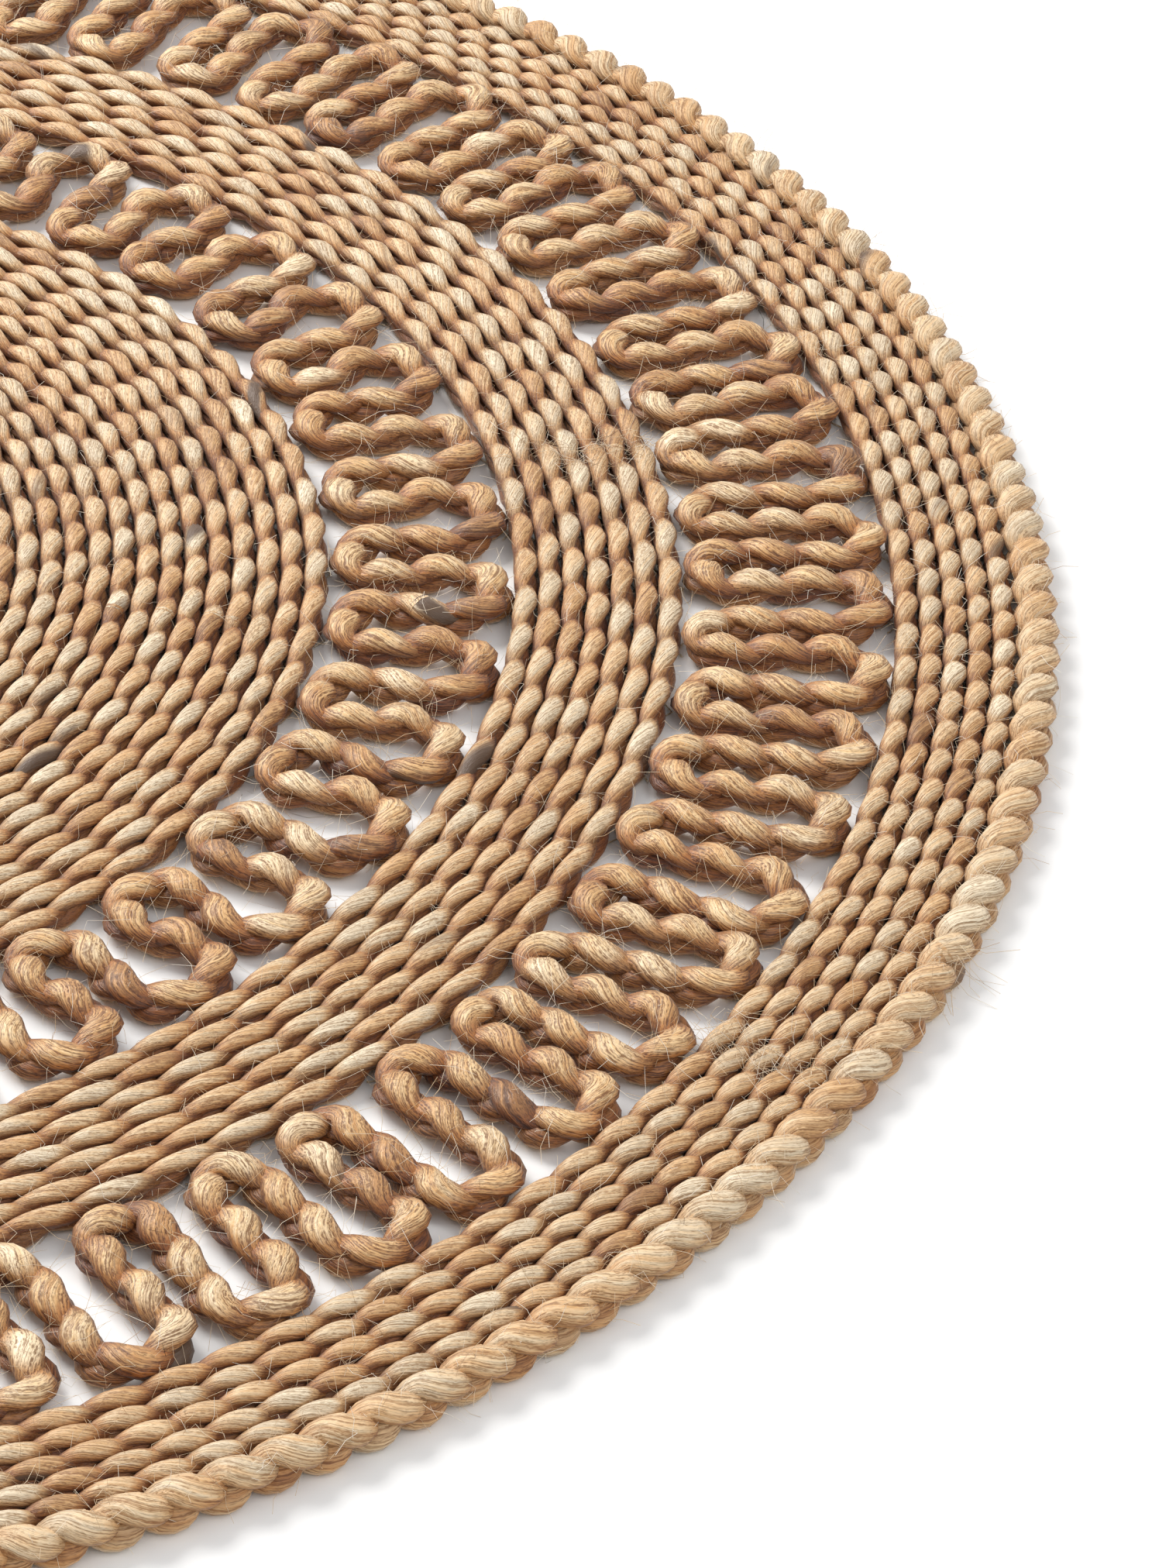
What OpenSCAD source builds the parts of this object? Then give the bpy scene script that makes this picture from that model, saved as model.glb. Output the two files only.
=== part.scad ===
// Round rug of plaited braids that stand on edge and are sewn side by side.
// From the middle out: centre disc, ring of loops, band, ring of loops, band, border.
// The origin is the middle of the underside, and Z points up from the floor.

/* [Braided rows] */
// Width of one row, across a braid that stands on edge
row_w = 9.5; // [8:0.1:11]
// Height of the rows
row_h = 12; // [10:0.5:16]
// Gap between neighbouring braids
row_gap = 0.25; // [0.1:0.05:0.5]
// Rounding of a row's long edges
row_round = 4.2; // [2.5:0.1:4.5]
// Height that a braid's lower edge loses where it is pressed flat on the floor
foot_flat = 1; // [0.5:0.1:1.5]

/* [Centre disc] */
// Radius of the coil that starts the disc
coil_r = 9.5; // [6:0.5:15]
// Number of rows round the coil
centre_rows = 32; // [8:1:34]

/* [Inner openwork] */
// Width of the ring that the inner loops fill
inner_openwork_w = 73.5; // [60:0.5:90]
// Number of loops round the inner ring
inner_loops = 43; // [36:1:52]

/* [Middle band] */
// Number of rows in the middle band
middle_rows = 7; // [3:1:8]

/* [Outer openwork] */
// Width of the ring that the outer loops fill
outer_openwork_w = 83.5; // [60:0.5:100]
// Number of loops round the outer ring
outer_loops = 68; // [54:1:78]

/* [Loops] */
// Width of the braid that is bent into loops
loop_braid_w = 15; // [10:0.1:16]
// Height of the braid that is bent into loops
loop_braid_h = 14; // [9:0.5:16]
// Height of the loops' underside above the floor
loop_lift = 0.4; // [0.2:0.1:1]
// Gap between the round ends of neighbouring loops
loop_end_gap = 4; // [3:0.5:7]

/* [Outer band] */
// Number of rows in the outer band
outer_rows = 5; // [3:1:8]

/* [Border] */
// Width of the border braid
border_w = 15.5; // [12:0.5:20]
// Height of the border braid
border_h = 15; // [12:0.5:18]
// Rounding of the border's long edges
border_round = 5.5; // [4:0.1:6]

/* [Stitching] */
// Diameter of the sewing thread
thread_d = 0.8; // [0.5:0.05:1]
// Gap between the thread and the braids beside it
thread_fit = 0.05; // [0.02:0.01:0.1]
// Length of the stitch that holds each loop end
stitch_len = 8; // [5:0.5:10]

/* [Hidden] */
$fn = 96;
// Sides of the polygon that rounds a braid's long edges
corner_sides = 12;
// Straight stretches in each half of a loop end
bend_steps = 4;
// Widest bend of a loop end, as a share of the width that the loops fill, so that a leg is left
bend_share = 0.3;
// Sides of the thread's cross-section, which is a square that stands on one corner
thread_sides = 4;

inner_openwork_r = coil_r + centre_rows * row_w;
middle_band_r = inner_openwork_r + inner_openwork_w;
outer_openwork_r = middle_band_r + middle_rows * row_w;
outer_band_r = outer_openwork_r + outer_openwork_w;
border_r = outer_band_r + outer_rows * row_w;

thread_r = thread_d / 2;
// Distance from the middle of a row's lower rounding to a thread that lies against it
thread_reach = row_round + thread_fit + thread_r;
// Height of a thread in the groove between two rows
groove_z = row_round - foot_flat - sqrt(pow(thread_reach, 2) - pow(row_round + row_gap / 2, 2));
// Distance that a thread beside a loop end moves off the seam, towards the row
loop_thread_in = thread_r + thread_fit - row_gap / 2;
loop_thread_z = row_round - foot_flat
    - sqrt(pow(thread_reach, 2) - pow(row_round + row_gap / 2 - loop_thread_in, 2));

jute = [0.80, 0.65, 0.46];
pale_jute = [0.85, 0.73, 0.56];
dark_jute = [0.70, 0.52, 0.33];
thread_colour = [0.90, 0.84, 0.72];

function two_digits(i) = i < 10 ? str("0", i) : str(i);
function centre_row_name(i) = str("centre_row_", two_digits(i));
function middle_row_name(i) = str("middle_row_", i);
function outer_row_name(i) = str("outer_row_", i);

// Cross-section of a braid that lies between x = 0 and x = w, with its lower edge pressed flat
module braid_profile(w, h, round_r) {
    low = round_r - foot_flat;
    high = h - round_r;
    intersection() {
        union() {
            translate([0, low]) square([w, high - low]);
            translate([round_r, -foot_flat]) square([w - 2 * round_r, h + foot_flat]);
            for (x = [round_r, w - round_r])
                for (z = [low, high])
                    translate([x, z]) circle(r = round_r, $fn = corner_sides);
        }
        square([w, h]);
    }
}

// Ring of braid that fills the space from radius r to radius r + w, less the gap on each side
module braid_ring(r, w, h, round_r) {
    rotate_extrude()
        translate([r + row_gap / 2, 0])
            braid_profile(w - row_gap, h, round_r);
}

// Row number i, counted outwards from 1, of a band whose inner edge is at radius r
module row(r, i) {
    braid_ring(r + (i - 1) * row_w, row_w, row_h, row_round);
}

module centre_coil() {
    color(pale_jute)
        rotate_extrude()
            intersection() {
                translate([row_gap / 2 - coil_r, 0])
                    braid_profile(2 * coil_r - row_gap, row_h, row_round);
                square([coil_r, row_h]);
            }
}

module centre_row(i) {
    color(i % 2 == 0 ? jute : pale_jute) row(coil_r, i);
}

module middle_row(i) {
    color(i % 2 == 0 ? jute : pale_jute) row(middle_band_r, i);
}

module outer_row(i) {
    color(i % 2 == 0 ? jute : pale_jute) row(outer_band_r, i);
}

module border_braid() {
    color(jute) braid_ring(border_r, border_w, border_h, border_round);
}

// Point at distance r and angle a from a centre
function polar(centre, r, a) = centre + r * [cos(a), sin(a)];
function turned(p, a) = [p.x * cos(a) - p.y * sin(a), p.x * sin(a) + p.y * cos(a)];

// Braid that winds in and out, count times, between radius r and radius r + ring_w.
// Its middle line is an arc round each loop end, with straight legs from arc to arc, and its
// two edges lie half the braid's width to either side of that line.
module loops_outline(r, ring_w, count) {
    w = loop_braid_w;
    step = 360 / count;
    chord = 2 * sin(step / 2);
    low_r = r + (row_gap + w) / 2;
    high_r = r + ring_w - (row_gap + w) / 2;
    widest_bend = bend_share * (high_r - low_r);
    low_bend = min(widest_bend, (chord * low_r - w - loop_end_gap) / (2 - chord));
    high_bend = min(widest_bend, (chord * high_r - w - loop_end_gap) / (2 + chord));
    high_centre = [high_r - high_bend, 0];
    low_centre = polar([0, 0], low_r + low_bend, step / 2);
    across = low_centre - high_centre;
    high_span = atan2(across.y, across.x) - acos((low_bend + high_bend) / norm(across));
    low_span = high_span - step / 2;
    function edge(side) = [
        for (i = [0:count - 1])
            for (p = concat(
                [for (k = [-bend_steps:bend_steps])
                    polar(high_centre, high_bend + side * w / 2, high_span * k / bend_steps)],
                [for (k = [-bend_steps:bend_steps])
                    polar(low_centre, low_bend - side * w / 2,
                          180 + step / 2 - low_span * k / bend_steps)]
            ))
                turned(p, i * step)
    ];
    difference() {
        polygon(edge(1));
        polygon(edge(-1));
    }
}

module loops(r, ring_w, count) {
    translate([0, 0, loop_lift])
        linear_extrude(loop_braid_h)
            loops_outline(r, ring_w, count);
}

module inner_openwork() {
    color(pale_jute) loops(inner_openwork_r, inner_openwork_w, inner_loops);
}

module outer_openwork() {
    color(dark_jute) loops(outer_openwork_r, outer_openwork_w, outer_loops);
}

// Thread rings in the grooves under a band: the first is at radius r, and they are a row apart
module groove_threads(r, count) {
    for (i = [0:count - 1])
        rotate_extrude()
            translate([r + i * row_w, groove_z])
                circle(d = thread_d, $fn = thread_sides);
}

module centre_stitching() {
    color(thread_colour) groove_threads(coil_r, centre_rows);
}

module middle_stitching() {
    color(thread_colour) groove_threads(middle_band_r + row_w, middle_rows - 1);
}

module outer_stitching() {
    color(thread_colour) groove_threads(outer_band_r + row_w, outer_rows);
}

// One stitch beside each loop end, on a circle of radius r, the first of them at angle start
module loop_end_stitches(r, count, start) {
    span = stitch_len / r * 180 / PI;
    for (i = [0:count - 1])
        rotate(start + i * 360 / count - span / 2)
            rotate_extrude(angle = span)
                translate([r, loop_thread_z])
                    circle(d = thread_d, $fn = thread_sides);
}

module loop_stitches(r, ring_w, count) {
    loop_end_stitches(r - loop_thread_in, count, 180 / count);
    loop_end_stitches(r + ring_w + loop_thread_in, count, 0);
}

module inner_loop_stitches() {
    color(thread_colour) loop_stitches(inner_openwork_r, inner_openwork_w, inner_loops);
}

module outer_loop_stitches() {
    color(thread_colour) loop_stitches(outer_openwork_r, outer_openwork_w, outer_loops);
}

centre_coil();
for (i = [1:centre_rows])
    centre_row(i);
inner_openwork();
for (i = [1:middle_rows])
    middle_row(i);
outer_openwork();
for (i = [1:outer_rows])
    outer_row(i);
border_braid();
centre_stitching();
middle_stitching();
outer_stitching();
inner_loop_stitches();
outer_loop_stitches();
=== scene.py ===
# %% [markdown]
# # A round rug of plaited jute
# The rug is plaited braid and sewing thread, and nothing else. Each braid stands on its edge, so
# that from above only the tops of its strands show, as a row of slanting leaf shapes. The rows
# lie side by side in rings, and in two of the rings the braid winds in and out in open loops.
# The CAD frame gives every ring's place and size, and this scene plaits the strands into them.

# %% Load the frame
import math
import random

import bmesh
import bpy
from mathutils import Matrix, Vector


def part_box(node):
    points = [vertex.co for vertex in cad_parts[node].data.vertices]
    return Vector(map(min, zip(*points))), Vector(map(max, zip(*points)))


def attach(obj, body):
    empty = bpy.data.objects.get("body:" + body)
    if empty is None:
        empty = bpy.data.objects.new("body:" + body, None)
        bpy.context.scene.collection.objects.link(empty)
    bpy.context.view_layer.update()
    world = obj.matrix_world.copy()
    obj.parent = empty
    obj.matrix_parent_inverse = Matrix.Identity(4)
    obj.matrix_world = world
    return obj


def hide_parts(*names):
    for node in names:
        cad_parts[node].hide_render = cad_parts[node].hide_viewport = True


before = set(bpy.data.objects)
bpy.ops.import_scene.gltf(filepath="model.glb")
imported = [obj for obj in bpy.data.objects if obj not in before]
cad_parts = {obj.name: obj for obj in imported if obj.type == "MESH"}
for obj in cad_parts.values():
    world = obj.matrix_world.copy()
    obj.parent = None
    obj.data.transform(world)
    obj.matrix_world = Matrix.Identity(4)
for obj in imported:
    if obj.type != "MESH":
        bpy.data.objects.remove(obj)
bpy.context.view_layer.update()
print("CAD nodes:", len(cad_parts))

# %% [markdown]
# ## Sizes
# A ring's CAD box gives its outer radius and its height. The rows of a band touch, so the
# difference between two neighbours' outer radii is the width of a row. Everything else about
# the bands follows from those boxes, and only what CAD doesn't hold is a value of its own here.

# %% Measure the bands
MM = 0.001
FAR = 10.0  # metres, farther than any part of the rug
ABOVE_FLOOR = (-FAR, -FAR, 0.0)  # the lowest place that a point may have


def outer_radius(name):
    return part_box(name)[1][0]


def top_of(name):
    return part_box(name)[1][2]


def names(prefix):
    return sorted(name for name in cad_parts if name.startswith(prefix))


CENTRE_ROWS = names("centre_row_")
MIDDLE_ROWS = names("middle_row_")
OUTER_ROWS = names("outer_row_")
ROW_W = outer_radius(CENTRE_ROWS[1]) - outer_radius(CENTRE_ROWS[0])
ROW_H = top_of(CENTRE_ROWS[0])
INNER_LOOPS_R = outer_radius(CENTRE_ROWS[-1])
MIDDLE_R = outer_radius(MIDDLE_ROWS[0]) - ROW_W
OUTER_LOOPS_R = outer_radius(MIDDLE_ROWS[-1])
OUTER_R = outer_radius(OUTER_ROWS[0]) - ROW_W
BORDER_R = outer_radius(OUTER_ROWS[-1])
RUG_R = outer_radius("border_braid")
BORDER_W = RUG_R - BORDER_R
BORDER_H = top_of("border_braid")
print(f"rows {ROW_W / MM:.1f} mm wide and {ROW_H / MM:.1f} mm high, rug {2 * RUG_R:.3f} m across")

# %% [markdown]
# ## Helpers for node trees
# A Geometry Nodes tree or a material made in a script is a list of nodes and links. Two short
# helpers keep it readable: `node` adds one node and fills its sockets, and a socket that is
# given another node's output is linked to it. `calc` and `vector` do the same for arithmetic.


# %% Node helpers
def node(tree, kind, inputs=None, **settings):
    """Adds a node. inputs maps a socket's name or number to a value or to another socket."""
    made = tree.nodes.new(kind)
    for name, value in settings.items():
        setattr(made, name, value)
    for key, value in (inputs or {}).items():
        if isinstance(value, bpy.types.NodeSocket):
            tree.links.new(value, made.inputs[key])
        else:
            made.inputs[key].default_value = value
    return made


def calc(tree, operation, a, b=0.0, c=0.0):
    return node(tree, "ShaderNodeMath", {0: a, 1: b, 2: c}, operation=operation).outputs[0]


def vector(tree, operation, a, b=(0, 0, 0)):
    return node(tree, "ShaderNodeVectorMath", {0: a, 1: b}, operation=operation).outputs[0]


def scaled(tree, a, factor):
    return node(tree, "ShaderNodeVectorMath", {0: a, "Scale": factor}, operation="SCALE").outputs[0]


def combine(tree, x=0.0, y=0.0, z=0.0):
    return node(tree, "ShaderNodeCombineXYZ", {0: x, 1: y, 2: z}).outputs[0]


def add_inputs(tree, sockets):
    """Gives a Geometry Nodes tree its named inputs and returns the node that they come out of."""
    for name, kind in sockets.items():
        tree.interface.new_socket(name, in_out="INPUT", socket_type=f"NodeSocket{kind}")
    tree.interface.new_socket("Geometry", in_out="OUTPUT", socket_type="NodeSocketGeometry")
    return tree.nodes.new("NodeGroupInput").outputs


def attribute(tree, name, kind="FLOAT"):
    made = node(tree, "GeometryNodeInputNamedAttribute", {"Name": name}, data_type=kind)
    return made.outputs["Attribute"]


def store(tree, geometry, name, value, kind="FLOAT"):
    made = node(
        tree,
        "GeometryNodeStoreNamedAttribute",
        {"Geometry": geometry, "Name": name, "Value": value},
        data_type=kind,
        domain="POINT",
    )
    return made.outputs[0]


def noise(tree, at, scale, detail=1.0):
    """Noise from about -1 to 1 at a point."""
    made = node(tree, "ShaderNodeTexNoise", {"Vector": at, "Scale": scale, "Detail": detail})
    return calc(tree, "MULTIPLY_ADD", made.outputs[0], 2.0, -1.0)


print("helpers for node trees: node, calc, vector, scaled, combine, add_inputs, attribute, store, noise")

# %% [markdown]
# ## The plait
# In a three-strand plait every strand swings from edge to edge, and crosses through the middle
# twice as often. Written along the braid, that is one sine for the swing and one sine of double
# the angle for the crossing, with the strands a third of a turn apart. A little of the third
# harmonic keeps a strand high over the edge and then lets it dive between its neighbours.
#
# A jute strand is a soft bundle, so it has no fixed section: it swells where it rolls over the
# edge and is pinched where the others press on it. Curve to Mesh could only scale a section as
# a whole. So it is used for its faces alone, and every point is then put in its place from what
# the curve carries: the middle of the strand, the direction sideways, and the two half sizes.
#
# Three attributes are kept for the material: `fibre` holds the place along the strand and round
# it, twisted as the fibres are, `strand` holds a number for each strand, and `depth` goes from 0
# at the braid's upper and lower edges to 1 half-way between them. The material paints shade into
# the colour by `depth`, darker towards the middle of the braid, where its hollows lie.

# %% Plait inputs and proportions
PLAIT_INPUTS = {
    "Geometry": "Geometry",
    "Turns": "Float",
    "Samples per turn": "Int",
    "Sides": "Int",
    "Middle height": "Float",
    "Swing up": "Float",
    "Swing across": "Float",
    "Half width": "Float",
    "Half height": "Float",
    "Unevenness": "Float",
    "Seed": "Float",
    "Material": "Material",
}
STRANDS = 3
DIVE = 0.22  # share of the third harmonic in a strand's rise and fall
LEAN = 0.25  # share of the fourth harmonic in its swing, which slants it more over the edge
TUCK = 0.17  # how much lower and thinner a strand starts over the edge than it ends
PINCH = 0.25  # share of its size that a strand loses inside the braid
PINCH_SHARPNESS = 6.0  # power of the cosine that keeps the pinch to the inside
print(f"{STRANDS} strands, {360 / STRANDS:.0f} degrees apart, with {len(PLAIT_INPUTS)} inputs")

# %% [markdown]
# ## Where a strand runs
# The angle that a strand has turned through is a field: Geometry Nodes works it out at each point
# of the braid's path from how far along the point lies. Noise makes the angle run a little ahead
# or behind, as a hand-made plait does, and fades out where the path's two ends have to meet.

# %% Strand path
SLACK_WAVES = 16.0  # swings of the slack in each metre of braid
PHASE_STEP = 2.4  # radians, for each unit of seed, by which one braid's lobes are ahead
END_FADE = 60.0  # how fast the unevenness fades in from the ends of the path


def wave(tree, angle, times=1.0):
    return calc(tree, "SINE", calc(tree, "MULTIPLY", angle, times))


def uneven(tree, given, place, at):
    """Noise that fades out at both ends of the path, so that the two ends of a strand meet."""
    left = calc(tree, "SUBTRACT", 1.0, place["Factor"])
    fade = calc(tree, "MULTIPLY", calc(tree, "MULTIPLY", place["Factor"], left), END_FADE)
    fade = calc(tree, "MINIMUM", fade, 1.0)
    faded = calc(tree, "MULTIPLY", noise(tree, at, 1.0), fade)
    return calc(tree, "MULTIPLY", faded, given["Unevenness"])


def braid_turn(tree, given, place, strand, number):
    """The angle that a strand has turned through, with a little slack from noise."""
    at = combine(tree, calc(tree, "MULTIPLY", place["Length"], SLACK_WAVES), number, 0.0)
    slack = uneven(tree, given, place, at)
    whole = calc(tree, "MULTIPLY", given["Turns"], math.tau)
    turn = calc(tree, "MULTIPLY_ADD", place["Factor"], whole, strand * math.tau / STRANDS)
    turn = calc(tree, "MULTIPLY_ADD", given["Seed"], PHASE_STEP, turn)
    return calc(tree, "ADD", turn, slack)


def strand_offset(tree, given, turn):
    """How far a strand lies from the braid's path: sideways over the path, and up."""
    tangent = node(tree, "GeometryNodeInputTangent").outputs[0]
    across = vector(tree, "NORMALIZE", vector(tree, "CROSS_PRODUCT", tangent, (0, 0, 1)))
    cross = calc(tree, "MULTIPLY_ADD", wave(tree, turn, 4.0), -LEAN, wave(tree, turn, 2.0))
    cross = calc(tree, "MULTIPLY", cross, given["Swing across"])
    rise = calc(tree, "MULTIPLY_ADD", wave(tree, turn, 3.0), -DIVE, wave(tree, turn))
    tuck = calc(tree, "MULTIPLY", wave(tree, turn, 2.0), calc(tree, "SIGN", wave(tree, turn)))
    rise = calc(tree, "MULTIPLY_ADD", tuck, -TUCK, rise)
    rise = calc(tree, "MULTIPLY", rise, given["Swing up"])
    rise = calc(tree, "MULTIPLY_ADD", rise, 1 / (1 + DIVE), given["Middle height"])
    sideways = scaled(tree, across, calc(tree, "MULTIPLY", cross, -1.0))
    return vector(tree, "ADD", sideways, combine(tree, 0.0, 0.0, rise))


print(f"the slack changes about every {1000 / SLACK_WAVES:.0f} mm")

# %% [markdown]
# ## How thick a strand is
# A strand is plump where it rolls over the braid's edge and pinched where the others press on
# it. Its two half sizes, its middle and its directions are stored on the curve, because Curve to
# Mesh hands a curve's attributes on to the points of the sweep.

# %% Strand sweep
PLUMP_WAVES = 38.0  # swellings in each metre of braid
PLUMP_APART = 4.0  # keeps the noise of the swellings apart from that of the slack
STRAND_STEP = 7.3  # keeps the noise of one strand apart from the next one's


def strand_sizes(tree, given, turn, place, number):
    """Half width and half height of a strand: plump over the edges, and pinched inside."""
    inside = calc(tree, "POWER", calc(tree, "ABSOLUTE", calc(tree, "COSINE", turn)), PINCH_SHARPNESS)
    body = calc(tree, "MULTIPLY_ADD", inside, -PINCH, 1.0)
    body = calc(tree, "MULTIPLY_ADD", wave(tree, turn, 2.0), -TUCK, body)
    wide = calc(tree, "MULTIPLY", body, given["Half width"])
    high = calc(tree, "MULTIPLY", body, given["Half height"])
    at = combine(tree, calc(tree, "MULTIPLY", place["Length"], PLUMP_WAVES), number, PLUMP_APART)
    plump = calc(tree, "ADD", uneven(tree, given, place, at), 1.0)
    return calc(tree, "MULTIPLY", wide, plump), calc(tree, "MULTIPLY", high, plump)


def swept_strand(tree, path, section, given, strand):
    """One strand, swept along the braid's path, with the attributes that place its points."""
    place = node(tree, "GeometryNodeSplineParameter").outputs
    number = calc(tree, "ADD", given["Seed"], strand * STRAND_STEP)
    turn = braid_turn(tree, given, place, strand, number)
    wide, high = strand_sizes(tree, given, turn, place, number)
    curve = store(tree, path, "along", place["Length"])
    curve = store(tree, curve, "wide", wide)
    curve = store(tree, curve, "high", high)
    offset = strand_offset(tree, given, turn)
    curve = node(tree, "GeometryNodeSetPosition", {"Geometry": curve, "Offset": offset}).outputs[0]
    tangent = node(tree, "GeometryNodeInputTangent").outputs[0]
    side = vector(tree, "NORMALIZE", vector(tree, "CROSS_PRODUCT", tangent, (0, 0, 1)))
    here = node(tree, "GeometryNodeInputPosition").outputs[0]
    curve = store(tree, curve, "middle", here, "FLOAT_VECTOR")
    curve = store(tree, curve, "side", side, "FLOAT_VECTOR")
    curve = store(tree, curve, "up", vector(tree, "CROSS_PRODUCT", side, tangent), "FLOAT_VECTOR")
    sweep = node(
        tree,
        "GeometryNodeCurveToMesh",
        {"Curve": curve, "Profile Curve": section, "Fill Caps": True},
    )
    return store(tree, sweep.outputs[0], "strand", number)


print(f"a strand swells about every {1000 / PLUMP_WAVES:.0f} mm")

# %% [markdown]
# ## Every point in its place
# The sweep's own round section is thrown away: each point goes to where the stored middle, side
# and up directions and half sizes say. A point that would sink through the floor stays on it, so
# the braid is flat underneath, as the rug's weight presses it. The faces are flipped first,
# because a circle swept along these paths comes out with its faces inwards.

# %% Plait tree
FIBRE_TWIST = 100.0  # radians of twist in each metre of strand
FIBRE_REACH = 3 * MM  # radius of the bundle that the fibre pattern is drawn on


def placed_points(tree, shape, given):
    """Moves each point to its place round the middle of its strand, and not through the floor."""
    angle = attribute(tree, "round")
    reach = calc(tree, "MULTIPLY", calc(tree, "COSINE", angle), attribute(tree, "wide"))
    lift = calc(tree, "MULTIPLY", calc(tree, "SINE", angle), attribute(tree, "high"))
    at = vector(
        tree,
        "ADD",
        scaled(tree, attribute(tree, "side", "FLOAT_VECTOR"), reach),
        scaled(tree, attribute(tree, "up", "FLOAT_VECTOR"), lift),
    )
    at = vector(tree, "ADD", attribute(tree, "middle", "FLOAT_VECTOR"), at)
    at = vector(tree, "MAXIMUM", at, ABOVE_FLOOR)
    shape = node(tree, "GeometryNodeSetPosition", {"Geometry": shape, "Position": at}).outputs[0]
    here = node(tree, "GeometryNodeInputPosition").outputs[0]
    height = node(tree, "ShaderNodeSeparateXYZ", {0: here}).outputs["Z"]
    away = calc(tree, "ABSOLUTE", calc(tree, "SUBTRACT", height, given["Middle height"]))
    edge = calc(tree, "ADD", given["Swing up"], given["Half height"])
    depth = calc(tree, "SUBTRACT", 1.0, calc(tree, "DIVIDE", away, edge))
    return store(tree, shape, "depth", depth)


def finished(tree, shape, given, dropped=()):
    """Drops the working attributes, then realizes the shape and gives it the material."""
    for name in dropped:
        shape = node(
            tree, "GeometryNodeRemoveAttribute", {"Geometry": shape, "Name": name}
        ).outputs[0]
    shape = node(tree, "GeometryNodeSetShadeSmooth", {"Geometry": shape}).outputs[0]
    shape = node(tree, "GeometryNodeRealizeInstances", {"Geometry": shape}).outputs[0]
    shape = node(
        tree, "GeometryNodeSetMaterial", {"Geometry": shape, "Material": given["Material"]}
    ).outputs[0]
    out = tree.nodes.new("NodeGroupOutput")
    tree.links.new(shape, out.inputs[0])


def plait_tree():
    """The tree that turns a path into a braid of three strands."""
    tree = bpy.data.node_groups.new("plait", "GeometryNodeTree")
    given = add_inputs(tree, PLAIT_INPUTS)
    path = node(tree, "GeometryNodeMeshToCurve", {0: given["Geometry"]}).outputs[0]
    count = calc(tree, "MULTIPLY", given["Turns"], given["Samples per turn"])
    path = node(tree, "GeometryNodeResampleCurve", {"Curve": path, "Count": count}).outputs[0]
    section = node(tree, "GeometryNodeCurvePrimitiveCircle", {"Resolution": given["Sides"]})
    factor = node(tree, "GeometryNodeSplineParameter").outputs["Factor"]
    section = store(tree, section.outputs[0], "round", calc(tree, "MULTIPLY", factor, math.tau))
    strands = node(tree, "GeometryNodeJoinGeometry")
    for strand in range(STRANDS):
        tree.links.new(swept_strand(tree, path, section, given, strand), strands.inputs[0])
    outwards = node(tree, "GeometryNodeFlipFaces", {0: strands.outputs[0]}).outputs[0]
    shape = placed_points(tree, outwards, given)
    angle = attribute(tree, "round")
    twist = calc(tree, "MULTIPLY_ADD", attribute(tree, "along"), FIBRE_TWIST, angle)
    fibre = combine(
        tree,
        attribute(tree, "along"),
        calc(tree, "MULTIPLY", calc(tree, "COSINE", twist), FIBRE_REACH),
        calc(tree, "MULTIPLY", calc(tree, "SINE", twist), FIBRE_REACH),
    )
    shape = store(tree, shape, "fibre", fibre, "FLOAT_VECTOR")
    finished(tree, shape, given, ("along", "round", "wide", "high", "middle", "side", "up"))
    return tree


PLAIT = plait_tree()
print("nodes in the plait tree:", len(PLAIT.nodes))

# %% [markdown]
# ## Running a tree
# A path goes into a tree as a mesh of points and edges. The modifier's inputs are set by their
# sockets' identifiers, before the object is evaluated for the first time. The result is kept as
# a plain mesh, and the modifier and the path are taken away.

# %% Grow a piece
OVERLAP = 2 * MM  # how far the end of a braid goes past its start


def grow(name, points, tree, values):
    """Runs a tree on a closed path, whose end overlaps its start a little, so no gap is left."""
    start, following = Vector(points[0]), Vector(points[1])
    overlap = start + (following - start).normalized() * OVERLAP
    points = points + [tuple(start), tuple(overlap)]
    edges = [(i, i + 1) for i in range(len(points) - 1)]
    mesh = bpy.data.meshes.new(name)
    mesh.from_pydata(points, edges, [])
    return grow_on(name, mesh, tree, values)


def grow_on(name, mesh, tree, values):
    """Runs a tree on a mesh and returns the result as a plain mesh object."""
    piece = bpy.data.objects.new(name, mesh)
    bpy.context.collection.objects.link(piece)
    grower = piece.modifiers.new("grow", "NODES")
    grower.node_group = tree
    sockets = {s.name: s.identifier for s in tree.interface.items_tree if s.in_out == "INPUT"}
    for key, value in values.items():
        grower[sockets[key]] = value
    depsgraph = bpy.context.evaluated_depsgraph_get()
    grown = bpy.data.meshes.new_from_object(piece.evaluated_get(depsgraph))
    piece.modifiers.clear()
    piece.data = grown
    bpy.data.meshes.remove(mesh)
    return piece


print(f"a braid's end goes {OVERLAP / MM:.0f} mm past its start")

# %% [markdown]
# ## Jute
# Jute fibre is long and shiny, and its colour changes from strand to strand and slowly along
# each strand: straw, grey beige, pink beige, ginger, and now and then a dark patch of bark.
# The `fibre` attribute lets the noise be stretched along the strand, so it makes streaks that
# follow the twist of the fibres round the plait. Two sizes of streak are laid over each other:
# bundles a millimetre or two wide, and single fibres. Both also drive the bump. Deep inside the
# braid the colour is painted a darker and redder brown, as shade for the hollows between strands.

# %% Streaks of colour
# Streaks in a metre along the fibres, streaks in a metre across them, and detail
TINT_STREAKS = (13.0, 0.0, 1.5)
BUNDLE_STREAKS = (9.0, 1000.0, 2.0)
FIBRE_STREAKS = (24.0, 3000.0, 2.0)
BARK_STREAKS = (9.0, 60.0, 1.0)
STRAND_APART = (3.7, 1.9)  # how far the streaks move from one strand to the next


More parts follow.
